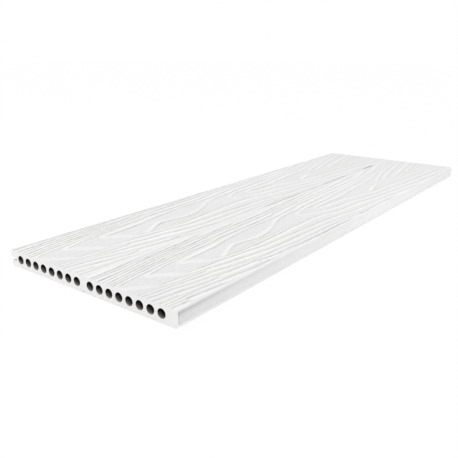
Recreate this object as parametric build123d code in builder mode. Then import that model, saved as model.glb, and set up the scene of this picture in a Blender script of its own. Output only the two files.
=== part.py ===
"""Hollow stair tread, extruded in one piece from white wood-plastic composite.

The section lies in the Y-Z plane and is extruded along X. The nose, which is the tread's front edge, faces -Y,
the slotted back edge faces +Y, and the tread lies on Z = 0 with the origin at the middle of its footprint.
"""

import os

from build123d import *

# Overall sizes, in millimetres
LENGTH = 1000.0
DEPTH = 320.0
THICKNESS = 24.0

# Edge roundings of the section
NOSE_TOP_RADIUS = 6.0
NOSE_BOTTOM_RADIUS = 5.0
BACK_TOP_RADIUS = 2.0
BACK_BOTTOM_RADIUS = 1.5
SLOT_LIP_RADIUS = 0.8

# Round channels that run the whole length, in two groups with a wide web between them
CHANNEL_DIAMETER = 12.8
CHANNELS_PER_GROUP = 8
CHANNEL_HEIGHT = 12.4
BACK_MARGIN = 22.5
NOSE_MARGIN = 25.5
MIDDLE_WEB_PITCH = 25.6

# Clip slot along the back edge, with a lower lip that stops short of the upper one
SLOT_HEIGHT = 5.0
SLOT_DEPTH = 12.0
SLOT_FLOOR = 9.0
LOWER_LIP_SETBACK = 1.5

# Relief groove in the underside, below the wide web
RELIEF_WIDTH = 3.0
RELIEF_DEPTH = 2.5
RELIEF_RADIUS = 1.0

# Places along the depth and the height, worked out from the sizes above
nose_y = -DEPTH / 2
back_y = DEPTH / 2
lower_lip_y = back_y - LOWER_LIP_SETBACK
slot_bottom_y = back_y - SLOT_DEPTH
slot_ceiling = SLOT_FLOOR + SLOT_HEIGHT
channel_spaces = 2 * (CHANNELS_PER_GROUP - 1)
channel_pitch = (DEPTH - BACK_MARGIN - NOSE_MARGIN - MIDDLE_WEB_PITCH) / channel_spaces
group_span = channel_pitch * (CHANNELS_PER_GROUP - 1)
back_group_y = back_y - BACK_MARGIN - group_span / 2
front_group_y = nose_y + NOSE_MARGIN + group_span / 2
middle_web_y = (back_group_y + front_group_y) / 2

# Each rounded corner of the outline, with its radius
rounded_corners = [
    ((nose_y, 0), NOSE_BOTTOM_RADIUS),
    ((nose_y, THICKNESS), NOSE_TOP_RADIUS),
    ((back_y, THICKNESS), BACK_TOP_RADIUS),
    ((lower_lip_y, 0), BACK_BOTTOM_RADIUS),
    ((back_y, slot_ceiling), SLOT_LIP_RADIUS),
    ((lower_lip_y, SLOT_FLOOR), SLOT_LIP_RADIUS),
]

with BuildPart() as tread_board:
    with BuildSketch(Plane.YZ) as section:
        # Outline of the bar, with the clip slot and its two lips
        with BuildLine():
            Polyline(
                (nose_y, 0),
                (lower_lip_y, 0),
                (lower_lip_y, SLOT_FLOOR),
                (slot_bottom_y, SLOT_FLOOR),
                (slot_bottom_y, slot_ceiling),
                (back_y, slot_ceiling),
                (back_y, THICKNESS),
                (nose_y, THICKNESS),
                close=True,
            )
        make_face()
        for corner, radius in rounded_corners:
            fillet(section.vertices().sort_by_distance(corner)[0], radius)
        # Relief groove, open at the underside and rounded at its top
        with Locations((middle_web_y, 0)):
            RectangleRounded(RELIEF_WIDTH, 2 * RELIEF_DEPTH, RELIEF_RADIUS, mode=Mode.SUBTRACT)
        # Both groups of channels
        for group_y in (back_group_y, front_group_y):
            with Locations((group_y, CHANNEL_HEIGHT)):
                with GridLocations(channel_pitch, 0, CHANNELS_PER_GROUP, 1):
                    Circle(CHANNEL_DIAMETER / 2, mode=Mode.SUBTRACT)
    extrude(amount=LENGTH / 2, both=True)

tread_board.part.label = "tread_board"
os.makedirs("parts", exist_ok=True)
export_step(tread_board.part, "parts/tread_board.step")
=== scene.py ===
"""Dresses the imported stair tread: a hollow white composite board with embossed wood grain, and its stage.

The frame's X runs along the tread from its near end at -X, the nose faces -Y, the slotted back faces +Y.
The board is one closed mesh. Its section is repeated along X, and the walking face carries the grain as
real relief.
"""

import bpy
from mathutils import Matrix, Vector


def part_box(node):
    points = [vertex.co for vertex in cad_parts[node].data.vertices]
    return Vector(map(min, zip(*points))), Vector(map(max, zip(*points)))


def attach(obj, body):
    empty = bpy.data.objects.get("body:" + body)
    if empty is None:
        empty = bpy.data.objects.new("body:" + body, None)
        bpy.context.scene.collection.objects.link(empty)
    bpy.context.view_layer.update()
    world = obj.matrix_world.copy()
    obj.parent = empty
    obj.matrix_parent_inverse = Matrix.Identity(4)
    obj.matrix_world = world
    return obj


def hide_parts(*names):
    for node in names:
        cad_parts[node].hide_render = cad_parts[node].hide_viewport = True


bl_info = {
    "name": "Stair Tread Dressing",
    "version": (1, 0, 0),
    "blender": (4, 5, 0),
    "location": "3D View > Sidebar > Tread",
    "description": "Builds a hollow composite stair tread with embossed wood grain, and its stage",
    "category": "Object",
}

import math

import bpy
import numpy as np
from bpy.props import FloatProperty, FloatVectorProperty, IntProperty, PointerProperty
from mathutils import Vector
from mathutils.geometry import tessellate_polygon

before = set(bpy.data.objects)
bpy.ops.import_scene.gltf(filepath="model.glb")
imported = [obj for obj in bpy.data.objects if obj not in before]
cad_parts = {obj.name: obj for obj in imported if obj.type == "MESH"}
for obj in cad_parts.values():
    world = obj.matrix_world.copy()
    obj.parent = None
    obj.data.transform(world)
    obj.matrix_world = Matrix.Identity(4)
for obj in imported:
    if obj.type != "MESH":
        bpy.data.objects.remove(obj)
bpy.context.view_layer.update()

NODE = "tread_board"
BODY = "root"
BOARD_NAME = "tread_board_skin"
MM = 0.001
# Places of the board's three materials
SKIN_LOOK, END_LOOK, WALL_LOOK = range(3)

# Growth rings of the embossed grain, in millimetres from the near end and from the back edge of a plank.
# Each ring has its tip, then points along its branch on the back side and along its branch on the nose side.
RINGS = (
    (
        (-4, 66),
        ((4, 60), (40, 55), (80, 52), (120, 49), (155, 46)),
        (
            (38, 96), (60, 98), (80, 101), (110, 107), (145, 115), (175, 119), (195, 124), (235, 130),
            (330, 133), (400, 138), (450, 144), (500, 150), (600, 155), (1000, 190),
        ),
    ),
    (
        (51, 64),
        (
            (80, 59), (120, 54), (160, 49), (200, 47), (225, 43), (270, 43), (350, 41), (375, 39),
            (400, 32), (450, 31), (540, 28), (592, 25), (740, 14), (1000, -50),
        ),
        (
            (85, 95), (120, 99), (140, 101), (165, 105), (200, 110), (235, 116), (290, 118), (350, 122),
            (400, 124), (430, 128), (490, 138), (550, 140), (650, 148), (1000, 180),
        ),
    ),
    (
        (114, 66),
        (
            (140, 65), (190, 63), (210, 59), (260, 54), (300, 51), (380, 50), (420, 46), (450, 41),
            (480, 38), (540, 37), (592, 33), (700, 32), (750, 28), (1000, -20),
        ),
        (
            (145, 92), (160, 95), (180, 99), (200, 102), (240, 104), (310, 103), (350, 101), (400, 101),
            (430, 104), (470, 115), (530, 119), (580, 125), (605, 130), (700, 141), (1000, 165),
        ),
    ),
    (
        (168, 99),
        (
            (205, 83), (222, 82), (262, 91), (290, 89), (320, 80), (350, 67), (375, 61), (400, 59),
            (430, 58), (460, 53), (500, 51), (560, 46), (650, 44), (750, 40), (1000, 0),
        ),
        ((190, 98), (290, 96), (350, 96)),
    ),
    (
        (413, 75),
        (
            (420, 72), (440, 66), (460, 64), (500, 64), (550, 62), (592, 57), (650, 53), (700, 51),
            (750, 46), (1000, 10),
        ),
        ((440, 85), (465, 95), (500, 100), (530, 102), (570, 109), (620, 117), (700, 125), (1000, 148)),
    ),
    (
        (472, 77),
        ((490, 75), (560, 77), (600, 72), (700, 64), (760, 57), (820, 45), (1000, 14)),
        ((490, 80), (560, 84), (600, 95), (640, 106), (1000, 130)),
    ),
    (
        (655, 104),
        ((695, 95), (720, 87), (760, 73), (820, 58), (1000, 25)),
        ((680, 106), (760, 112), (1000, 120)),
    ),
    ((765, 86), ((800, 75), (850, 66), (1000, 38)), ((790, 95), (820, 101), (1000, 113))),
    ((815, 91), ((850, 86), (880, 81), (1000, 60)), ((850, 97), (900, 101), (1000, 106))),
    ((893, 91), ((930, 85), (1000, 72)), ((930, 96), (1000, 99))),
)
# Plain lines outside the rings, on the back side and on the nose side, each by its points from end to end
PLAIN_LINES = {
    -1: (
        ((0, 14), (50, 12), (100, 9), (150, 6)),
        ((0, 19), (40, 18), (100, 16), (130, 14), (180, 13), (215, 8)),
        ((0, 28), (25, 27), (60, 24), (80, 21), (100, 20), (160, 20), (200, 17), (240, 17), (290, 14)),
        ((0, 36), (40, 31), (60, 30), (80, 28), (110, 26), (150, 24)),
        (
            (0, 43), (20, 41), (55, 36), (80, 34), (100, 32), (140, 29), (180, 28), (215, 24), (260, 22),
            (350, 22), (400, 17), (450, 15), (540, 9), (1000, -60),
        ),
        (
            (0, 49), (20, 47), (60, 41), (95, 40), (125, 36), (140, 34), (190, 33), (240, 33), (270, 31),
            (350, 30), (400, 25), (450, 23), (500, 22), (540, 18), (1000, -55),
        ),
        ((0, 54), (40, 49), (60, 47), (100, 44), (140, 42), (185, 40), (205, 38)),
    ),
    1: (
        ((0, 98), (30, 101), (60, 107), (80, 108), (104, 111)),
        (
            (0, 104), (40, 109), (100, 119), (130, 125), (170, 133), (185, 138), (230, 140), (290, 145),
            (400, 147), (450, 150), (500, 155), (1000, 195),
        ),
        ((0, 111), (40, 117), (80, 126), (120, 135), (160, 140), (176, 141)),
        ((0, 121), (40, 128), (80, 135), (98, 137)),
        ((0, 132), (25, 134)),
        ((0, 139), (65, 141), (115, 148), (150, 152), (190, 154)),
        ((0, 143), (40, 148), (84, 154)),
        ((0, 150), (20, 152)),
        ((188, 144), (220, 150), (260, 151), (300, 154), (400, 155), (1000, 200)),
    ),
}
# How far a line runs on, fading, before its first point and after its last one, in millimetres
LINE_FADE = 14.0
# Lines are drawn by their darkest place, which lies this far inside the foot of the ridge, in millimetres
LINE_INSET = 1.0
# Share of the space outside a ring's line, and outside a plain line, that its ridge fills
RING_FILL = 0.62
PLAIN_FILL = 0.58
# Lines that are closer than the least space count as one, and outside the last line is the greatest space
LEAST_SPACE = 1.5
GREATEST_SPACE = 16.0
# Places along the tread, in millimetres, between which lines are worked out, the length of the window that
# softens them, and how far from a line's first point it is softened in full
LINE_SPAN = (-120.0, 1121.0)
SOFT_WINDOW = 33
TIP_EASE = 25.0
# Waves in which lines stray: the share of the wander, and the lengths along and across in millimetres
WANDER_WAVES = ((1.0, 60, 20), (0.5, 22, 8), (0.25, 9, 5))
# Room round the grid of the strays, and its cell across where they change along the tread alone
STRAY_MARGIN = 200.0
LEVEL_CELL = 50.0
# Share of the space that a line fills, the narrowest line as a share of the widest, and the share of its
# width that a line has on its ridge's side
LINE_FILL = 0.19
NARROWEST_LINE = 1 / 2.5
STEEP_SIDE = 0.5
# Depth of the lines: their mean share, how much it varies, and the lengths of the waves that it varies in
LINE_MEAN = 0.8
LINE_VARIATION = 0.2
LINE_WAVES = (40, 9)
# How dark the lines' painted shade is and how deep the lines are, along the length, and what share of it the
# plain ones have on each side of a plank
LINE_SHARE = ((0, 0.96), (180, 0.92), (240, 0.82), (450, 0.8), (600, 0.57), (850, 0.42), (1000, 0.27))
PLAIN_LINE_SHARE = {
    -1: ((0, 0.9), (60, 1.0), (195, 1.1), (215, 1.0), (1000, 1.0)),
    1: ((0, 0.8), (120, 0.85), (200, 1.0), (1000, 1.0)),
}
# What share of it a ring's own line has
RING_LINE_SHARE = ((0, 0.75), (100, 0.8), (150, 0.95), (1000, 1.0))
# Darkness of the painted shade along the back edge, which also dips it a little, and its width
BACK_EDGE_SHARE = ((0, 0.42), (250, 0.36), (500, 0.25), (1000, 0.18))
BACK_EDGE_WIDTH = 3.0
# Near the joint between the planks the lines are fainter: how far on the back's and on the nose's side,
# over what width they fade, and how faint they are
JOINT_MARGINS = (4.0, 9.0)
FAINT_FADE = 4.0
FAINT_SHARE = 0.3
# Width at the nose's edge over which the face turns as smooth as a ridge and takes the ridges' painted
# highlight
RIM_FADE = 2.0
# Greatest width of a ridge along the length, on the back side and on the nose side of its plank
RIDGE_WIDTHS = {
    -1: (
        (0, 12.0), (280, 14.0), (360, 14.0), (430, 8.0), (620, 6.0), (650, 9.0), (690, 8.0), (720, 4.5),
        (760, 10.0), (1000, 12.0),
    ),
    1: ((0, 25.0), (150, 25.0), (200, 10.0), (600, 8.0), (1000, 7.0)),
}
# Least width of a ridge, and its greatest width before a ring's tip
LEAST_RIDGE = 2.5
TIP_WIDTH = 9.0
# Height of the ridges: their mean share, how much it varies, and the length of the waves that it varies in
RIDGE_MEAN = 0.85
RIDGE_VARIATION = 0.15
RIDGE_WAVE = 30
# Shape of a ridge: powers that move its crest towards its line and make it fuller
CREST_POWER = 0.7
FULL_POWER = 0.8
# How bright a ridge's painted highlight is, and how high the ridge is, along the length, on each side of its
# plank, and at a ring's tip
RIDGE_SHARE = {
    -1: (
        (0, 1.0), (80, 1.0), (110, 0.85), (200, 0.85), (230, 0.7), (320, 0.7), (420, 0.78), (450, 0.95),
        (690, 1.0), (720, 0.7), (850, 0.7), (1000, 0.5),
    ),
    1: ((0, 1.0), (200, 1.0), (240, 0.78), (340, 0.72), (450, 0.8), (700, 0.8), (850, 0.7), (1000, 0.5)),
}
TIP_SHARE = 0.65
# How far a line's ridge moves over it where the line slants, how wide the ridge is there, in millimetres, and
# the power of the slant that weakens the line
SLANT_SHIFT = 25.0
SLANT_WIDTH = 56.0
SLANT_POWER = 4
# Turn of the nose's rounding, in degrees from the top, that still carries the grain
GRAIN_TURN = 48.0
# The soft line of painted shade that ends the nose's rounding: its share at the rounding's last points, then
# at drops down the face, and how it weakens along the length
NOSE_LINE_ROUNDING = (0.0, 0.18, 0.44, 0.42, 0.3)
NOSE_LINE_DROPS = (0.001, 0.003, 0.006, 0.012)
NOSE_LINE_FACE = (0.22, 0.1, 0.03, 0.0)
NOSE_LINE_SHARE = (
    (0, 0.95), (12, 0.82), (35, 0.7), (70, 0.54), (120, 0.34), (190, 0.22), (300, 0.14), (1000, 0.08),
)
NOSE_ARC_STEPS = len(NOSE_LINE_ROUNDING) - 1
# The line of painted shade at the sawn corner of the nose: its share at the same points, and how it weakens
# along the length
CORNER_LINE = (0.0, 0.3, 0.6, 0.9, 1.0, 1.0, 0.65, 0.5, 0.5)
CORNER_SHARE = ((0, 0.7), (2.5, 0.2), (30, 0.06), (90, 0.02), (160, 0.0))
# The foot of the nose's face: the steps of its rounding, and how much of the ridges' painted highlight it has
# along the length, as painted light from the floor
FOOT_ARC_STEPS = 7
FOOT_SHARE = ((0, 1.0), (150, 0.7), (400, 0.3), (1000, 0.3))
# Ridge share of the plain faces, which have no grain
PLAIN_SHARE = 0.3
# The plank at the back has the pattern of the one at the nose, moved towards the far end along the length,
# wider along the length and set towards the back edge
PLANK_SHIFT = ((60, 0), (120, 7), (195, 13), (430, 25), (520, 22), (660, 9), (1000, 4))
BACK_WIDENING = ((0, 1.215), (300, 1.165), (450, 1.115), (1000, 1.115))
BACK_SETBACK = 16.0
# Darkness of the joint line between the two planks along the length, and how far it lies behind their middle
JOINT_SHARE = (
    (400, 0.0), (425, 0.5), (445, 0.7), (480, 0.5), (520, 0.7), (555, 0.35), (570, 0.35), (600, 0.5),
    (625, 0.3), (640, 0.3), (652, 0.7), (730, 0.65), (765, 0.4), (790, 0.2), (845, 0.3), (862, 1.5),
    (894, 1.5), (906, 0.0),
)
JOINT_OFFSET = 0.8
# Darkness of the line along the nose's edge, where its rounding begins, its place from the nose and its width
EDGE_SHARE = (
    (130, 0.0), (180, 0.15), (330, 0.2), (440, 0.1), (478, 0.1), (482, 0.8), (487, 0.3), (491, 0.8),
    (497, 0.1), (508, 0.25), (610, 0.2), (650, 0.0),
)
EDGE_INSET = 4.4
EDGE_WIDTH = 1.8
# Darkness of the clip slot's inner corners
SLOT_SHADE = 0.7
# Steps of the section's smaller arcs
RELIEF_ARC_STEPS = 3
BACK_FOOT_ARC_STEPS = 3
LIP_ARC_STEPS = 2
BACK_TOP_ARC_STEPS = 4
# How much closer the mesh's stations lie at the near end
STATION_CROWDING = 0.5
# Points that are closer than this lie at the same place, in metres
SAME_PLACE = 1e-6
# Sides of each channel in the mesh, and the length of its mouth's own span, in metres
CHANNEL_SIDES = 32
MOUTH_SPAN = 0.02
# Painted light in a channel: how far it reaches into the mouth, in metres, its share on the upper half of the
# wall, and the wall's painted shade without it
MOUTH_REACH = 0.009
UPPER_WALL_LIGHT = 0.04
CHANNEL_DARK = (0.006, 0.005, 0.005)
# The board's texture map: the rows that hold the skin, the channel walls and the two sawn ends, each from 0
# to 1, the share of a channel's rows that each mouth takes, and the scale of the skin that is hardly seen
MAP_NAME = "OFBake"
SKIN_ROWS = (0.0, 0.745)
CHANNEL_ROWS = (0.75, 0.835)
END_ROWS = ((0.84, 0.915), (0.92, 0.995))
MOUTH_ROWS = 0.45
HIDDEN_SCALE = 0.25
# Values between which nearly all of a noise lies
NOISE_SPAN = (0.3, 0.7)
WHITE = (1, 1, 1, 1)
# Strength of the sky overhead and along the horizon, the heights between which one turns into the other, and
# how the horizon leans towards a side
SKY_OVERHEAD = 0.935
SKY_HORIZON = 0.68
SKY_BAND = (0.1, 0.7)
SKY_LEAN = (-0.15, 0.3, 0.0)
# The floor: its reach in metres, the light that it adds of its own as a light table, and the share of plain
# white in what is seen of it
FLOOR_REACH = 12.0
FLOOR_GLOW = 0.1
FLOOR_WHITE = 0.95
# Soft square lamps: the name, the place, the target, the side in metres and the power in watts
LAMPS = (
    ("key_lamp", (-1.0, 1.6, 1.7), (-0.1, 0.0, 0.0), 1.6, 14.0),
    ("nose_lamp", (0.03, -0.75, 0.26), (0.03, -0.16, 0.0), 0.5, 1.06),
    ("far_lamp", (0.55, -0.6, 0.2), (0.5, -0.16, 0.0), 0.3, 0.13),
)
# The camera: its place and aim, its sensor and lens in millimetres, the lens's shift, and its nearest sight
CAMERA_PLACE = (-0.9136, -0.5356, 0.296)
CAMERA_AIM = (0.7505, 0.5893, -0.2992)
SENSOR_WIDTH = 36.0
LENS = 44.0
LENS_SHIFT = (0.0313, -0.0073)
CLIP_START = 0.01


class TreadSizes(bpy.types.PropertyGroup):
    """Sizes of the tread's section"""

    nose_top_radius: FloatProperty(
        name="Nose Top Radius", description="Rounding along the top of the nose",
        default=0.006, unit="LENGTH",
    )
    nose_bottom_radius: FloatProperty(
        name="Nose Bottom Radius", description="Rounding along the foot of the nose",
        default=0.005, unit="LENGTH",
    )
    back_top_radius: FloatProperty(
        name="Back Top Radius", description="Rounding along the top of the back",
        default=0.002, unit="LENGTH",
    )
    back_bottom_radius: FloatProperty(
        name="Back Bottom Radius", description="Rounding along the foot of the back",
        default=0.0015, unit="LENGTH",
    )
    lip_radius: FloatProperty(
        name="Slot Lip Radius", description="Rounding at the mouth of the clip slot",
        default=0.0008, unit="LENGTH",
    )
    lip_setback: FloatProperty(
        name="Lower Lip Setback", description="How far the lower lip stops short",
        default=0.0015, unit="LENGTH",
    )
    slot_floor: FloatProperty(
        name="Slot Floor", description="Height of the clip slot's floor", default=0.009, unit="LENGTH"
    )
    slot_height: FloatProperty(
        name="Slot Height", description="Opening of the clip slot", default=0.005, unit="LENGTH"
    )
    slot_depth: FloatProperty(
        name="Slot Depth", description="Depth of the clip slot", default=0.012, unit="LENGTH"
    )
    channel_diameter: FloatProperty(
        name="Channel Diameter", description="Bore of each round channel", default=0.0128, unit="LENGTH"
    )
    channel_height: FloatProperty(
        name="Channel Height", description="Height of the channel axes", default=0.0124, unit="LENGTH"
    )
    channels_per_group: IntProperty(
        name="Channels per Group", description="Channels on each side of the wide web", default=8, min=2
    )
    back_margin: FloatProperty(
        name="Back Margin", description="From the back edge to the first channel axis",
        default=0.0225, unit="LENGTH",
    )
    nose_margin: FloatProperty(
        name="Nose Margin", description="From the nose to the last channel axis",
        default=0.0255, unit="LENGTH",
    )
    web_pitch: FloatProperty(
        name="Wide Web Pitch", description="Between the axes beside the wide web",
        default=0.0256, unit="LENGTH",
    )
    relief_width: FloatProperty(
        name="Relief Width", description="Width of the groove in the underside",
        default=0.003, unit="LENGTH",
    )
    relief_depth: FloatProperty(
        name="Relief Depth", description="Depth of the groove in the underside",
        default=0.0025, unit="LENGTH",
    )
    relief_radius: FloatProperty(
        name="Relief Radius", description="Rounding at the top of that groove", default=0.001, unit="LENGTH"
    )


class TreadGrain(bpy.types.PropertyGroup):
    """The embossed wood grain of the walking face"""

    ridge_height: FloatProperty(
        name="Ridge Height", description="Height of the ridges over the plain face",
        default=0.00045, unit="LENGTH",
    )
    groove_depth: FloatProperty(
        name="Groove Depth", description="Depth of the lines below the plain face",
        default=0.0006, unit="LENGTH",
    )
    groove_width: FloatProperty(
        name="Groove Width", description="Greatest width of the lines", default=0.0024, unit="LENGTH"
    )
    joint_depth: FloatProperty(
        name="Joint Depth", description="Depth of the line between the two planks",
        default=0.0012, unit="LENGTH",
    )
    joint_width: FloatProperty(
        name="Joint Width", description="Width of the line between the two planks",
        default=0.003, unit="LENGTH",
    )
    wander: FloatProperty(
        name="Wander", description="How far the lines stray from their drawn course",
        default=0.0009, unit="LENGTH",
    )
    columns: IntProperty(
        name="Columns", description="Mesh columns across the walking face", default=430, min=40
    )
    stations: IntProperty(name="Stations", description="Mesh stations along the tread", default=196, min=20)
    seed: IntProperty(name="Seed", description="Start of the grain's random strays", default=3)


class TreadColours(bpy.types.PropertyGroup):
    """Colours of the tread"""

    # Painted highlight: the ridges are lighter than the plain composite between them
    ridge_and_highlight: FloatVectorProperty(
        name="Ridge", description="Smooth composite of the ridges",
        default=(0.945, 0.94, 0.937), subtype="COLOR", size=3,
    )
    board: FloatVectorProperty(
        name="Board", description="Plain white composite",
        default=(0.802, 0.797, 0.795), subtype="COLOR", size=3,
    )
    # Painted shade in the lines of the grain and along the back edge
    groove: FloatVectorProperty(
        name="Groove", description="Composite in the lines of the grain",
        default=(0.465, 0.455, 0.447), subtype="COLOR", size=3,
    )
    # Dark of the joint line and the line along the nose's edge, and painted shade under the nose's rounding,
    # at its sawn corner and in the clip slot
    gap: FloatVectorProperty(
        name="Gap", description="Dark of the joint line and the slot",
        default=(0.12, 0.12, 0.12), subtype="COLOR", size=3,
    )
    end: FloatVectorProperty(
        name="Sawn End", description="Composite of the sawn ends",
        default=(0.882, 0.879, 0.877), subtype="COLOR", size=3,
    )
    # Painted light on the channel wall at its mouth; deeper in, painted shade
    channel: FloatVectorProperty(
        name="Channel", description="Channel wall at its mouth",
        default=(0.66, 0.605, 0.57), subtype="COLOR", size=3,
    )
    floor: FloatVectorProperty(
        name="Floor", description="Studio floor", default=(0.9, 0.9, 0.9), subtype="COLOR", size=3
    )


# Section of the board

def arc(centre, radius, start, end, steps):
    """Points on a circle of the section, from one angle to another, both in degrees."""
    angles = np.radians(np.linspace(start, end, steps + 1))
    return [(centre[0] + radius * math.cos(a), centre[1] + radius * math.sin(a)) for a in angles]


def section_below(sizes, low, high):
    """Outline from the nose end of the walking face round below to its back end, and its sharp corners."""
    nose, back, top = low.y, high.y, high.z
    lip = back - sizes.lip_setback
    slot = back - sizes.slot_depth
    ceiling = sizes.slot_floor + sizes.slot_height
    relief_y = channel_places(sizes, low, high)[1]
    half = sizes.relief_width / 2
    turn = sizes.relief_radius
    relief_top = sizes.relief_depth - turn
    nose_top, nose_foot = sizes.nose_top_radius, sizes.nose_bottom_radius
    back_top, back_foot, lip_turn = sizes.back_top_radius, sizes.back_bottom_radius, sizes.lip_radius
    runs = (
        (arc((nose + nose_top, top - nose_top), nose_top, 90 + GRAIN_TURN, 180, NOSE_ARC_STEPS), False),
        ([(nose, top - nose_top - drop) for drop in NOSE_LINE_DROPS], False),
        (arc((nose + nose_foot, nose_foot), nose_foot, 180, 270, FOOT_ARC_STEPS), False),
        ([(relief_y - half, 0.0)], True),
        (arc((relief_y - half + turn, relief_top), turn, 180, 90, RELIEF_ARC_STEPS), False),
        (arc((relief_y + half - turn, relief_top), turn, 90, 0, RELIEF_ARC_STEPS), False),
        ([(relief_y + half, 0.0)], True),
        (arc((lip - back_foot, back_foot), back_foot, -90, 0, BACK_FOOT_ARC_STEPS), False),
        (arc((lip - lip_turn, sizes.slot_floor - lip_turn), lip_turn, 0, 90, LIP_ARC_STEPS), False),
        ([(slot, sizes.slot_floor), (slot, ceiling)], True),
        (arc((back - lip_turn, ceiling + lip_turn), lip_turn, -90, 0, LIP_ARC_STEPS), False),
        (arc((back - back_top, top - back_top), back_top, 0, 90, BACK_TOP_ARC_STEPS), False),
    )
    points = []
    corners = []
    for run, is_corner in runs:
        if is_corner:
            corners += range(len(points), len(points) + len(run))
        points += run
    return points, corners


def channel_places(sizes, low, high):
    """Places of the channel axes across the tread, and the middle of the wide web between the two groups."""
    spaces = 2 * (sizes.channels_per_group - 1)
    room = high.y - low.y - sizes.back_margin - sizes.nose_margin - sizes.web_pitch
    pitch = room / spaces
    steps = np.arange(sizes.channels_per_group) * pitch
    front = low.y + sizes.nose_margin + steps
    back = high.y - sizes.back_margin - steps
    return [*front, *back], (front[-1] + back[-1]) / 2


# Grain of the walking face

def eased(value):
    """A smooth step from 0 to 1."""
    value = np.clip(value, 0, 1)
    return value * value * (3 - 2 * value)


def stray(rng, along, across, along_cell, across_cell):
    """Smooth seeded noise between -1 and 1 over places in millimetres."""
    rows = int((along.max() + 2 * STRAY_MARGIN) / along_cell) + 3
    columns = int((across.max() + 2 * STRAY_MARGIN) / across_cell) + 3
    grid = rng.uniform(-1, 1, (rows, columns))
    row = (along + STRAY_MARGIN) / along_cell
    column = (across + STRAY_MARGIN) / across_cell
    i = np.floor(row).astype(int)
    j = np.floor(column).astype(int)
    p = eased(row - i)
    q = eased(column - j)
    near = grid[i, j] * (1 - p) + grid[i + 1, j] * p
    far = grid[i, j + 1] * (1 - p) + grid[i + 1, j + 1] * p
    return near * (1 - q) + far * q


def stray_along(rng, along, cell):
    """Smooth seeded noise that changes along the tread alone."""
    return stray(rng, along, np.zeros_like(along), cell, LEVEL_CELL)


def read_along(table, along):
    """Values of a table of places and values, read at places along the tread, as a column."""
    return np.interp(along, *zip(*table))[:, None]


def drawn_line(along, points):
    """A line read at places along the tread, softened away from its first point."""
    places, offsets = zip(*points)
    window = np.hanning(SOFT_WINDOW)[1:-1]
    steps = np.arange(*LINE_SPAN)
    straight = np.interp(steps, places, offsets)
    padded = np.pad(straight, len(window) // 2, mode="edge")
    soft = np.convolve(padded, window / window.sum(), mode="valid")
    ease = np.clip((steps - places[0]) / TIP_EASE, 0, 1)
    return np.interp(along, steps, straight + (soft - straight) * ease)


def presence(along, first, last):
    """How much of a line is there along the tread: it fades before its first place and after its last one."""
    return eased((along - first) / LINE_FADE + 1) * eased((last - along) / LINE_FADE + 1)


def plank_lines(along):
    """All lines of a plank as (tip, line, space, presence, side): the side is -1 for back and 1 for nose.

    The space is the one to the next line outside, and a plain line has no tip.
    """
    lines = []
    for side, branch in ((-1, 1), (1, 2)):
        drawn = [(None, points) for points in PLAIN_LINES[side]]
        drawn += [(ring[0], (ring[0], *ring[branch])) for ring in RINGS]
        places = np.array([drawn_line(along, points) for tip, points in drawn])
        present = np.array([presence(along, points[0][0], points[-1][0]) for tip, points in drawn])
        for number, (tip, points) in enumerate(drawn):
            spaces = side * (places - places[number])
            spaces = np.where((spaces > LEAST_SPACE) & (present > 0.5), spaces, GREATEST_SPACE)
            space = np.minimum(spaces.min(axis=0), GREATEST_SPACE)
            lines.append((tip, places[number], space, present[number], side))
    return lines


def plank_grain(along, across, grain, rng):
    """Ridge and groove shares, from 0 to 1, at a grid of places on one plank, in millimetres: they shape the
    relief and carry its painted highlight and painted shade.
    """
    wander = grain.wander / MM
    widest_line = grain.groove_width / MM
    grid_along = np.repeat(along[:, None], across.shape[1], 1)
    course = across.copy()
    for share, length, width in WANDER_WAVES:
        course += share * wander * stray(rng, grid_along, across, length, width)
    ridge_and_highlight = np.zeros_like(course)
    groove = np.zeros_like(course)
    for tip, line, space, present, side in plank_lines(along):
        slope = np.gradient(line, along)
        lean = (1 / np.sqrt(1 + slope * slope))[:, None]
        spacing = space[:, None] * lean
        present = present[:, None]
        widest = read_along(RIDGE_WIDTHS[side], along)
        fill = RING_FILL if tip else PLAIN_FILL
        width = np.clip(np.maximum(fill * spacing, SLANT_WIDTH * (1 - lean)), LEAST_RIDGE, widest)
        inward = (LINE_INSET - side * (course - line[:, None])) * lean
        strength = RIDGE_MEAN + RIDGE_VARIATION * stray_along(rng, grid_along, RIDGE_WAVE)
        strength = strength * lean * (present * read_along(RIDGE_SHARE[side], along))
        if tip:
            before = grid_along < tip[0]
            inward = np.where(before, -np.hypot(grid_along - tip[0], course - tip[1]), inward)
            width = np.where(before, np.minimum(widest, TIP_WIDTH), width)
            strength = np.where(before, TIP_SHARE * strength, strength)
        # A slanting line lies under the middle of its ridge, and any other at the ridge's foot
        place = np.clip((SLANT_SHIFT * (1 - lean) - inward) / width, 0, 1)
        swell = np.sin(np.pi * place ** CREST_POWER) ** FULL_POWER
        ridge_and_highlight = np.maximum(ridge_and_highlight, swell * strength)
        fall = np.clip(LINE_FILL * spacing, NARROWEST_LINE * widest_line, widest_line)
        reach = np.where(inward < 0, STEEP_SIDE * fall, fall)
        cut = np.exp(-((inward / reach) ** 2))
        depth = LINE_MEAN
        for wave in LINE_WAVES:
            depth = depth + LINE_VARIATION * stray_along(rng, grid_along, wave)
        if tip:
            cut = np.where(before, 0, cut * read_along(RING_LINE_SHARE, along))
        else:
            cut = cut * read_along(PLAIN_LINE_SHARE[side], along)
        groove = np.maximum(groove, cut * depth * lean ** SLANT_POWER * present)
    return ridge_and_highlight, np.clip(groove * read_along(LINE_SHARE, along), 0, 1)


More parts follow.
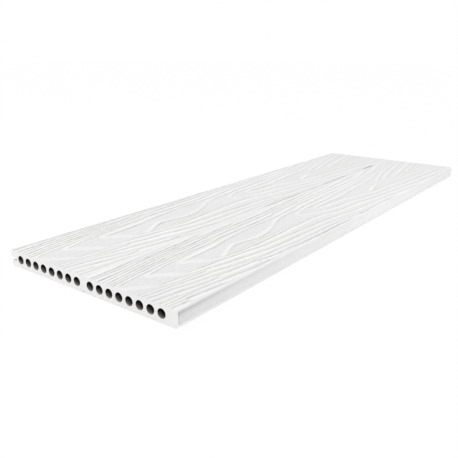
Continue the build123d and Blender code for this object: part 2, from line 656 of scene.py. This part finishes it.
def walking_face(along, run, depth, grain):
    """Height below the top, and shares of ridges with painted highlight, of grooves with painted shade and of
    dark lines over the walking face, all lengths in millimetres.

    The run is measured from the back edge over the face and on over the nose's rounding.
    """
    rng = np.random.default_rng(grain.seed)
    plank = depth / 2
    ridge_and_highlight = np.zeros((along.size, run.size))
    groove = np.zeros_like(ridge_and_highlight)
    at_back = run < plank
    back_along = along - np.interp(along, *zip(*PLANK_SHIFT))
    back_across = (run[None, at_back] + BACK_SETBACK) / read_along(BACK_WIDENING, back_along)
    ridge_and_highlight[:, at_back], groove[:, at_back] = plank_grain(back_along, back_across, grain, rng)
    nose_across = np.repeat(run[None, ~at_back] - plank, along.size, 0)
    ridge_and_highlight[:, ~at_back], groove[:, ~at_back] = plank_grain(along, nose_across, grain, rng)
    # The lines are fainter near the joint, and the face is as smooth as a ridge, with the ridges' painted
    # highlight, where it ends at the nose
    margin = np.where(at_back, *JOINT_MARGINS)
    lined = FAINT_SHARE + (1 - FAINT_SHARE) * eased((np.abs(run - plank) - margin) / FAINT_FADE + 0.5)
    last = eased((run[-1] - run) / RIM_FADE)
    ridge_and_highlight = PLAIN_SHARE + (ridge_and_highlight - PLAIN_SHARE) * lined
    ridge_and_highlight = 1 + (ridge_and_highlight - 1) * last
    back_edge = read_along(BACK_EDGE_SHARE, along) * np.exp(-(((run - run[0]) / BACK_EDGE_WIDTH) ** 2))
    groove = np.maximum(groove * lined * last, back_edge)
    # The joint line between the planks, and the line along the nose's edge
    joint_places = 2 * (run - plank + JOINT_OFFSET) * MM / grain.joint_width
    joint = read_along(JOINT_SHARE, along) * np.exp(-(joint_places ** 2))
    edge_places = 2 * (run - depth + EDGE_INSET) / EDGE_WIDTH
    edge = read_along(EDGE_SHARE, along) * np.exp(-(edge_places ** 2))
    gap = np.clip(np.maximum(joint, edge), 0, 1)
    drop = grain.ridge_height * (1 - ridge_and_highlight) + grain.groove_depth * groove
    return np.maximum(drop, grain.joint_depth * gap), ridge_and_highlight, groove, gap


# Mesh of the board

def board_rows(sizes, grain, low, high):
    """Grid of points, station by station round the section, with each one's shares, and the sharp corners."""
    length, depth = high.x - low.x, high.y - low.y
    share = np.linspace(0, 1, grain.stations)
    # Stations lie closer at the near end
    along = low.x + length * ((1 - STATION_CROWDING) * share + STATION_CROWDING * share * share)
    places = (along - low.x) / MM
    below, corners = section_below(sizes, low, high)
    radius = sizes.nose_top_radius
    flat_end = depth - radius
    face_end = flat_end + radius * math.radians(GRAIN_TURN)
    run = np.linspace(sizes.back_top_radius, face_end, grain.columns + 1)[1:-1]
    turn = np.maximum(run - flat_end, 0) / radius
    drop, ridge_and_highlight, groove, gap = walking_face(places, run / MM, depth / MM, grain)
    count = run.size + len(below)
    points = np.zeros((along.size, count, 3))
    points[:, :, 0] = along[:, None]
    points[:, : run.size, 1] = high.y - np.minimum(run, flat_end) + (drop - radius) * np.sin(turn)
    points[:, : run.size, 2] = high.z - radius + (radius - drop) * np.cos(turn)
    points[:, run.size :, 1:] = np.array(below)
    shares = {name: np.zeros((along.size, count)) for name in ("ridge_and_highlight", "groove", "gap")}
    shares["ridge_and_highlight"][:, run.size :] = PLAIN_SHARE
    for name, values in (("ridge_and_highlight", ridge_and_highlight), ("groove", groove), ("gap", gap)):
        shares[name][:, : run.size] = values
    # Painted shade: the soft line of the nose, the line at its sawn corner and the shade inside the clip slot
    nose_line = np.array((*NOSE_LINE_ROUNDING, *NOSE_LINE_FACE))
    nose = slice(run.size, run.size + nose_line.size)
    weaker = read_along(NOSE_LINE_SHARE, places)
    corner = read_along(CORNER_SHARE, places)
    shares["gap"][:, nose] = np.maximum(weaker * nose_line, corner * np.array(CORNER_LINE))
    # Painted light from the floor: the foot of the nose takes the ridges' lighter colour
    foot = slice(nose.stop, nose.stop + FOOT_ARC_STEPS + 1)
    shares["ridge_and_highlight"][:, foot] = read_along(FOOT_SHARE, places)
    sharp = [run.size + index for index in corners]
    shares["gap"][:, sharp[-2:]] = SLOT_SHADE
    return points, shares, sharp


def skin_rows(sizes, section, low):
    """Rows of the texture map for the section's points, and for the first one again at the end."""
    closed = np.vstack((section, section[:1]))
    y, z = (closed[1:] + closed[:-1]).T / 2
    slot_top = sizes.slot_floor + sizes.slot_height + sizes.lip_radius
    hidden = (y > low.y + sizes.nose_bottom_radius) & (z < slot_top)
    steps = np.hypot(*np.diff(closed, axis=0).T) * np.where(hidden, HIDDEN_SCALE, 1)
    run = np.concatenate(((0,), np.cumsum(steps)))
    return np.interp(run, (0, run[-1]), SKIN_ROWS)


def closed_wall(start, along, around):
    """Faces of a wall between closed rings of points, and their corners' spots on the texture map.

    Both lists give places on the map: one for each ring, and one for each point of a ring and its first
    again.
    """
    count = len(around) - 1
    i, j = (grid.ravel() for grid in np.mgrid[: len(along) - 1, :count])
    k = (j + 1) % count
    here, there = start + i * count, start + (i + 1) * count
    faces = np.stack((here + j, here + k, there + k, there + j), axis=1)
    ring_spots = np.stack((along[i], along[i], along[i + 1], along[i + 1]), axis=1)
    point_spots = np.stack((around[j], around[j + 1], around[j + 1], around[j]), axis=1)
    return faces.tolist(), np.stack((ring_spots, point_spots), axis=2).reshape(-1, 2).tolist()


def end_cap(outline, holes, facing):
    """Triangles that close one end of the board, as indices into its outline and then its holes."""
    loops = [[Vector((y, z, 0)) for y, z in loop] for loop in (outline, *holes)]
    flat = [p for loop in loops for p in loop]
    triangles = []
    for a, b, c in tessellate_polygon(loops):
        turn = (flat[b] - flat[a]).cross(flat[c] - flat[a]).z
        if turn:
            triangles.append((a, b, c) if (turn > 0) == (facing > 0) else (a, c, b))
    return triangles


def board_mesh(name, sizes, grain, low, high):
    """The whole board as one closed mesh: skin, both sawn ends and the channel walls."""
    points, shares, corners = board_rows(sizes, grain, low, high)
    stations, count = points.shape[:2]
    places = points.reshape(-1, 3).tolist()
    columns = (points[:, 0, 0] - low.x) / (high.x - low.x)
    faces, spots = closed_wall(0, columns, skin_rows(sizes, points[0, :, 1:], low))
    looks = [SKIN_LOOK] * len(faces)
    # Channel walls, with a short span behind each mouth
    radius = sizes.channel_diameter / 2
    spans = (low.x, low.x + MOUTH_SPAN, high.x - MOUTH_SPAN, high.x)
    span_rows = np.interp((0, MOUTH_ROWS, 1 - MOUTH_ROWS, 1), (0, 1), CHANNEL_ROWS)
    rings = {low.x: [], high.x: []}
    holes = []
    axes = channel_places(sizes, low, high)[0]
    for number, y in enumerate(axes):
        circle = arc((y, sizes.channel_height), radius, 360, 0, CHANNEL_SIDES)[:-1]
        holes.append(circle)
        start = len(places)
        for x in spans:
            places += [(x, *p) for p in circle]
        side_columns = (number + np.linspace(0, 1, CHANNEL_SIDES + 1)) / len(axes)
        wall, wall_spots = closed_wall(start, span_rows, side_columns)
        faces += wall
        spots += [spot[::-1] for spot in wall_spots]
        looks += [WALL_LOOK] * len(wall)
        rings[low.x] += range(start, start + CHANNEL_SIDES)
        rings[high.x] += range(len(places) - CHANNEL_SIDES, len(places))
    # Sawn ends
    ends = ((low.x, 0, -1), (high.x, stations - 1, 1))
    for (x, station, facing), end_rows in zip(ends, END_ROWS):
        outline = points[station, :, 1:]
        indices = [*range(station * count, (station + 1) * count), *rings[x]]
        for triangle in end_cap(outline, holes, facing):
            face = tuple(indices[t] for t in triangle)
            faces.append(face)
            looks.append(END_LOOK)
            for corner in face:
                y, z = places[corner][1:]
                end_column = np.interp(y, (low.y, high.y), (0, 1))
                spots.append((end_column, np.interp(z, (low.z, high.z), end_rows)))
    mesh = bpy.data.meshes.new(name)
    mesh.from_pydata(places, [], faces)
    mesh.polygons.foreach_set("material_index", looks)
    mesh.polygons.foreach_set("use_smooth", [look != END_LOOK for look in looks])
    mesh.uv_layers.new(name=MAP_NAME).data.foreach_set("uv", np.ravel(spots))
    for share, values in shares.items():
        filled = np.zeros(len(places))
        filled[: values.size] = values.ravel()
        mesh.attributes.new(share, "FLOAT", "POINT").data.foreach_set("value", filled)
    mark_sharp(mesh, stations * count, count, corners, low.x, high.x)
    mesh.validate()
    mesh.update()
    return mesh


def mark_sharp(mesh, skin, count, corners, near, far):
    """Keeps the edges of the sawn ends and the corners of the section crisp."""
    pairs = np.empty(len(mesh.edges) * 2, int)
    mesh.edges.foreach_get("vertices", pairs)
    pairs = pairs.reshape(-1, 2)
    places = np.empty(len(mesh.vertices) * 3)
    mesh.vertices.foreach_get("co", places)
    x = places[0::3][pairs]
    at_near = np.all(np.abs(x - near) < SAME_PLACE, axis=1)
    at_far = np.all(np.abs(x - far) < SAME_PLACE, axis=1)
    column = pairs % count
    lengthwise = (pairs < skin).all(axis=1) & (column[:, 0] == column[:, 1])
    sharp = at_near | at_far | (lengthwise & np.isin(column[:, 0], corners))
    mesh.attributes.new("sharp_edge", "BOOLEAN", "EDGE").data.foreach_set("value", sharp)


# Materials

def new_material(name, roughness, specular):
    """A material with one plain principled shader, and its node tree."""
    material = bpy.data.materials.new(name)
    material.use_nodes = True
    tree = material.node_tree
    shader = tree.nodes["Principled BSDF"]
    shader.inputs["Roughness"].default_value = roughness
    shader.inputs["Specular IOR Level"].default_value = specular
    return material, tree, shader


def noise(tree, scale, detail, stretch=(1, 1, 1)):
    """Noise over the object's own coordinates, stretched along its axes."""
    place = tree.nodes.new("ShaderNodeTexCoord")
    mapping = tree.nodes.new("ShaderNodeMapping")
    mapping.inputs["Scale"].default_value = stretch
    texture = tree.nodes.new("ShaderNodeTexNoise")
    texture.inputs["Scale"].default_value = scale
    texture.inputs["Detail"].default_value = detail
    tree.links.new(place.outputs["Object"], mapping.inputs["Vector"])
    tree.links.new(mapping.outputs["Vector"], texture.inputs["Vector"])
    return texture.outputs["Fac"]


def mapped(tree, value, span, to_span):
    """A value carried from one span to another."""
    node = tree.nodes.new("ShaderNodeMapRange")
    node.inputs["From Min"].default_value = span[0]
    node.inputs["From Max"].default_value = span[1]
    node.inputs["To Min"].default_value = to_span[0]
    node.inputs["To Max"].default_value = to_span[1]
    tree.links.new(value, node.inputs["Value"])
    return node.outputs["Result"]


def worked_out(tree, operation, *values):
    """The result of a sum, a product or the like, on values that are numbers or other nodes' results."""
    node = tree.nodes.new("ShaderNodeMath")
    node.operation = operation
    for socket, value in zip(node.inputs, values):
        if isinstance(value, bpy.types.NodeSocket):
            tree.links.new(value, socket)
        else:
            socket.default_value = value
    return node.outputs[0]


def share_of(tree, name):
    """One of the board's own shares, from its mesh."""
    node = tree.nodes.new("ShaderNodeAttribute")
    node.attribute_name = name
    return node.outputs["Fac"]


def mixed_colour(tree, share, first, second, blend="MIX"):
    """A mix of two colours, each a fixed colour or another node's."""
    node = tree.nodes.new("ShaderNodeMix")
    node.data_type = "RGBA"
    node.blend_type = blend
    if isinstance(share, float):
        node.inputs[0].default_value = share
    else:
        tree.links.new(share, node.inputs[0])
    # Sockets 6 and 7 are the two colours
    for socket, colour in ((node.inputs[6], first), (node.inputs[7], second)):
        if isinstance(colour, bpy.types.NodeSocket):
            tree.links.new(colour, socket)
        else:
            socket.default_value = (*colour, 1)
    return node.outputs[2]


def tinted(tree, colour, tint):
    """A colour times a tint."""
    return mixed_colour(tree, 1.0, colour, tint, "MULTIPLY")


def bump(tree, height, distance, strength, under=None):
    """Fine relief from a height, over another bump where one is given."""
    node = tree.nodes.new("ShaderNodeBump")
    node.inputs["Strength"].default_value = strength
    node.inputs["Distance"].default_value = distance
    tree.links.new(height, node.inputs["Height"])
    if under:
        tree.links.new(under, node.inputs["Normal"])
    return node.outputs["Normal"]


def composite_skin(colours):
    """Satin white composite with painted light and shade: lighter on the ridges, darker in the lines of the
    grain, with drawn streaks and a fine tooth.
    """
    material, tree, shader = new_material("composite_skin", roughness=0.5, specular=0.35)
    clouds = noise(tree, scale=14, detail=3, stretch=(0.4, 1, 1))
    streaks = noise(tree, scale=260, detail=2, stretch=(0.02, 1, 1))
    tooth = noise(tree, scale=900, detail=2)
    mottle = noise(tree, scale=330, detail=3, stretch=(0.6, 1, 1))
    dashes = noise(tree, scale=170, detail=2, stretch=(0.9, 1.6, 1))
    mottled = tinted(tree, colours.board, mapped(tree, mottle, NOISE_SPAN, (0.92, 1.02)))
    # Painted highlight: lighter colour on the ridges
    shaded = mixed_colour(tree, share_of(tree, "ridge_and_highlight"), mottled, colours.ridge_and_highlight)
    shaded = tinted(tree, shaded, mapped(tree, clouds, NOISE_SPAN, (0.97, 1.0)))
    # Painted shade in the lines of the grain and along the back edge, broken into dashes
    broken = mapped(tree, dashes, (0.35, 0.65), (0.55, 1.15))
    lines = worked_out(tree, "MULTIPLY", share_of(tree, "groove"), broken)
    shaded = mixed_colour(tree, lines, shaded, colours.groove)
    # The dark joint and edge lines, and painted shade under the nose's rounding, at its sawn corner and in
    # the slot
    shaded = mixed_colour(tree, share_of(tree, "gap"), shaded, colours.gap)
    tree.links.new(shaded, shader.inputs["Base Color"])
    tree.links.new(mapped(tree, streaks, NOISE_SPAN, (0.42, 0.58)), shader.inputs["Roughness"])
    drawn = bump(tree, streaks, distance=0.0002, strength=0.25)
    tree.links.new(bump(tree, tooth, distance=0.0002, strength=0.18, under=drawn), shader.inputs["Normal"])
    return material


def sawn_end(colours):
    """The sawn end: the same composite, matt, with a granular cut."""
    material, tree, shader = new_material("sawn_end", roughness=0.7, specular=0.25)
    grains = noise(tree, scale=1100, detail=4)
    strokes = noise(tree, scale=120, detail=2, stretch=(1, 0.15, 6))
    shaded = tinted(tree, colours.end, mapped(tree, grains, NOISE_SPAN, (0.95, 1.0)))
    tree.links.new(shaded, shader.inputs["Base Color"])
    tree.links.new(mapped(tree, grains, NOISE_SPAN, (0.6, 0.8)), shader.inputs["Roughness"])
    sawn = bump(tree, strokes, distance=0.0003, strength=0.2)
    tree.links.new(bump(tree, grains, distance=0.0003, strength=0.3, under=sawn), shader.inputs["Normal"])
    return material


def channel_wall(colours, sizes, near, far):
    """Raw inner wall with painted light and shade: grey along the floor of each mouth, and dark above it and
    further in.
    """
    material, tree, shader = new_material("channel_wall", roughness=0.85, specular=0.1)
    place = tree.nodes.new("ShaderNodeTexCoord")
    parts = tree.nodes.new("ShaderNodeSeparateXYZ")
    tree.links.new(place.outputs["Object"], parts.inputs["Vector"])
    from_middle = worked_out(tree, "ABSOLUTE", parts.outputs["X"])
    half = (far - near) / 2
    floor = sizes.channel_height - sizes.channel_diameter / 2
    ribs = noise(tree, scale=400, detail=2, stretch=(0.3, 1, 1))
    at_mouth = mapped(tree, from_middle, (half - MOUTH_REACH, half), (0.0, 1.0))
    at_floor = mapped(tree, parts.outputs["Z"], (floor, sizes.channel_height), (1.0, UPPER_WALL_LIGHT))
    lit = worked_out(tree, "MULTIPLY", at_mouth, at_floor)
    shaded = mixed_colour(tree, lit, CHANNEL_DARK, colours.channel)
    shaded = tinted(tree, shaded, mapped(tree, ribs, NOISE_SPAN, (0.8, 1.1)))
    tree.links.new(shaded, shader.inputs["Base Color"])
    tree.links.new(bump(tree, ribs, distance=0.0003, strength=0.3), shader.inputs["Normal"])
    return material


def seen_directly(tree):
    """One for rays from the camera or through gloss and glass, and nought for light that only bounces."""
    path = tree.nodes.new("ShaderNodeLightPath")
    shiny = worked_out(tree, "MAXIMUM", path.outputs["Is Glossy Ray"], path.outputs["Is Transmission Ray"])
    return worked_out(tree, "MAXIMUM", path.outputs["Is Camera Ray"], shiny)


def studio_floor(colours):
    """Pale floor that shows as white and keeps a faint shadow."""
    material, tree, shader = new_material("studio_floor", roughness=0.9, specular=0.0)
    shader.inputs["Base Color"].default_value = (*colours.floor, 1)
    shader.inputs["Emission Color"].default_value = WHITE
    shader.inputs["Emission Strength"].default_value = FLOOR_GLOW
    glow = tree.nodes.new("ShaderNodeEmission")
    glow.inputs["Color"].default_value = WHITE
    glow.inputs["Strength"].default_value = 1.0
    mix = tree.nodes.new("ShaderNodeMixShader")
    tree.links.new(mapped(tree, seen_directly(tree), (0, 1), (0.0, FLOOR_WHITE)), mix.inputs[0])
    tree.links.new(shader.outputs[0], mix.inputs[1])
    tree.links.new(glow.outputs[0], mix.inputs[2])
    tree.links.new(mix.outputs[0], tree.nodes["Material Output"].inputs["Surface"])
    return material


# Stage

def studio_sky():
    """White to the eye, and a soft light that is stronger towards the near end and the back."""
    world = bpy.data.worlds.new("studio_sky")
    world.use_nodes = True
    tree = world.node_tree
    place = tree.nodes.new("ShaderNodeTexCoord")
    lean = tree.nodes.new("ShaderNodeVectorMath")
    lean.operation = "DOT_PRODUCT"
    lean.inputs[1].default_value = SKY_LEAN
    tree.links.new(place.outputs["Generated"], lean.inputs[0])
    parts = tree.nodes.new("ShaderNodeSeparateXYZ")
    tree.links.new(place.outputs["Generated"], parts.inputs["Vector"])
    level = tree.nodes.new("ShaderNodeMix")
    # Sockets 2 and 3 are the two strengths
    level.inputs[3].default_value = SKY_OVERHEAD
    tree.links.new(mapped(tree, parts.outputs["Z"], SKY_BAND, (0, 1)), level.inputs[0])
    tree.links.new(worked_out(tree, "ADD", lean.outputs["Value"], SKY_HORIZON), level.inputs[2])
    light = tree.nodes["Background"]
    light.inputs["Color"].default_value = WHITE
    tree.links.new(level.outputs[0], light.inputs["Strength"])
    plain = tree.nodes.new("ShaderNodeBackground")
    plain.inputs["Color"].default_value = WHITE
    plain.inputs["Strength"].default_value = 1.0
    mix = tree.nodes.new("ShaderNodeMixShader")
    tree.links.new(seen_directly(tree), mix.inputs[0])
    tree.links.new(light.outputs[0], mix.inputs[1])
    tree.links.new(plain.outputs[0], mix.inputs[2])
    tree.links.new(mix.outputs[0], tree.nodes["World Output"].inputs["Surface"])
    return world


def floor_mesh(colours):
    """A wide square floor below the tread."""
    floor = bpy.data.meshes.new("studio_floor")
    corners = [(FLOOR_REACH * x, FLOOR_REACH * y, 0) for x, y in ((-1, -1), (1, -1), (1, 1), (-1, 1))]
    floor.from_pydata(corners, [], [(0, 1, 2, 3)])
    floor.materials.append(studio_floor(colours))
    return floor


def add_lamp(scene, name, place, target, side, power):
    """A square soft lamp that faces a target."""
    lamp = bpy.data.lights.new(name, "AREA")
    lamp.size = side
    lamp.energy = power
    holder = bpy.data.objects.new(name, lamp)
    holder.location = place
    holder.rotation_euler = (Vector(target) - Vector(place)).to_track_quat("-Z", "Y").to_euler()
    scene.collection.objects.link(holder)


def add_camera(scene):
    """The camera at the photograph's viewing angle, level, with the lens axis a little off the middle."""
    camera = bpy.data.cameras.new("tread_camera")
    camera.sensor_width = SENSOR_WIDTH
    camera.lens = LENS
    camera.shift_x, camera.shift_y = LENS_SHIFT
    camera.clip_start = CLIP_START
    holder = bpy.data.objects.new("tread_camera", camera)
    holder.location = CAMERA_PLACE
    holder.rotation_euler = Vector(CAMERA_AIM).to_track_quat("-Z", "Y").to_euler()
    scene.collection.objects.link(holder)
    scene.camera = holder


# Operators

class AddTreadBoard(bpy.types.Operator):
    """Build the tread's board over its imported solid"""

    bl_idname = "object.add_tread_board"
    bl_label = "Add Tread Board"

    def execute(self, context):
        scene = context.scene
        low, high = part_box(NODE)
        mesh = board_mesh(BOARD_NAME, scene.tread_sizes, scene.tread_grain, Vector(low), Vector(high))
        for material in (
            composite_skin(scene.tread_colours),
            sawn_end(scene.tread_colours),
            channel_wall(scene.tread_colours, scene.tread_sizes, low[0], high[0]),
        ):
            mesh.materials.append(material)
        board = bpy.data.objects.new(BOARD_NAME, mesh)
        scene.collection.objects.link(board)
        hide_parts(NODE)
        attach(board, BODY)
        return {"FINISHED"}


class AddTreadStage(bpy.types.Operator):
    """Lay the floor, light the tread and set the camera"""

    bl_idname = "scene.add_tread_stage"
    bl_label = "Add Tread Stage"

    def execute(self, context):
        scene = context.scene
        ground = bpy.data.objects.new("studio_floor", floor_mesh(scene.tread_colours))
        scene.collection.objects.link(ground)
        scene.world = studio_sky()
        for lamp in LAMPS:
            add_lamp(scene, *lamp)
        add_camera(scene)
        scene.view_settings.view_transform = "Standard"
        return {"FINISHED"}


class TreadPanel(bpy.types.Panel):
    """Sizes, grain and colours of the tread"""

    bl_idname = "VIEW3D_PT_tread"
    bl_label = "Stair Tread"
    bl_space_type = "VIEW_3D"
    bl_region_type = "UI"
    bl_category = "Tread"

    def draw(self, context):
        column = self.layout.column()
        for group in (context.scene.tread_sizes, context.scene.tread_grain, context.scene.tread_colours):
            for name in group.__annotations__:
                column.prop(group, name)
        column.operator(AddTreadBoard.bl_idname)
        column.operator(AddTreadStage.bl_idname)


CLASSES = (TreadSizes, TreadGrain, TreadColours, AddTreadBoard, AddTreadStage, TreadPanel)


def register():
    for kind in CLASSES:
        bpy.utils.register_class(kind)
    bpy.types.Scene.tread_sizes = PointerProperty(type=TreadSizes)
    bpy.types.Scene.tread_grain = PointerProperty(type=TreadGrain)
    bpy.types.Scene.tread_colours = PointerProperty(type=TreadColours)


def unregister():
    del bpy.types.Scene.tread_colours
    del bpy.types.Scene.tread_grain
    del bpy.types.Scene.tread_sizes
    for kind in reversed(CLASSES):
        bpy.utils.unregister_class(kind)


def main():
    register()
    bpy.ops.object.add_tread_board()
    bpy.ops.scene.add_tread_stage()
    bpy.context.view_layer.update()


if __name__ == "__main__":
    main()
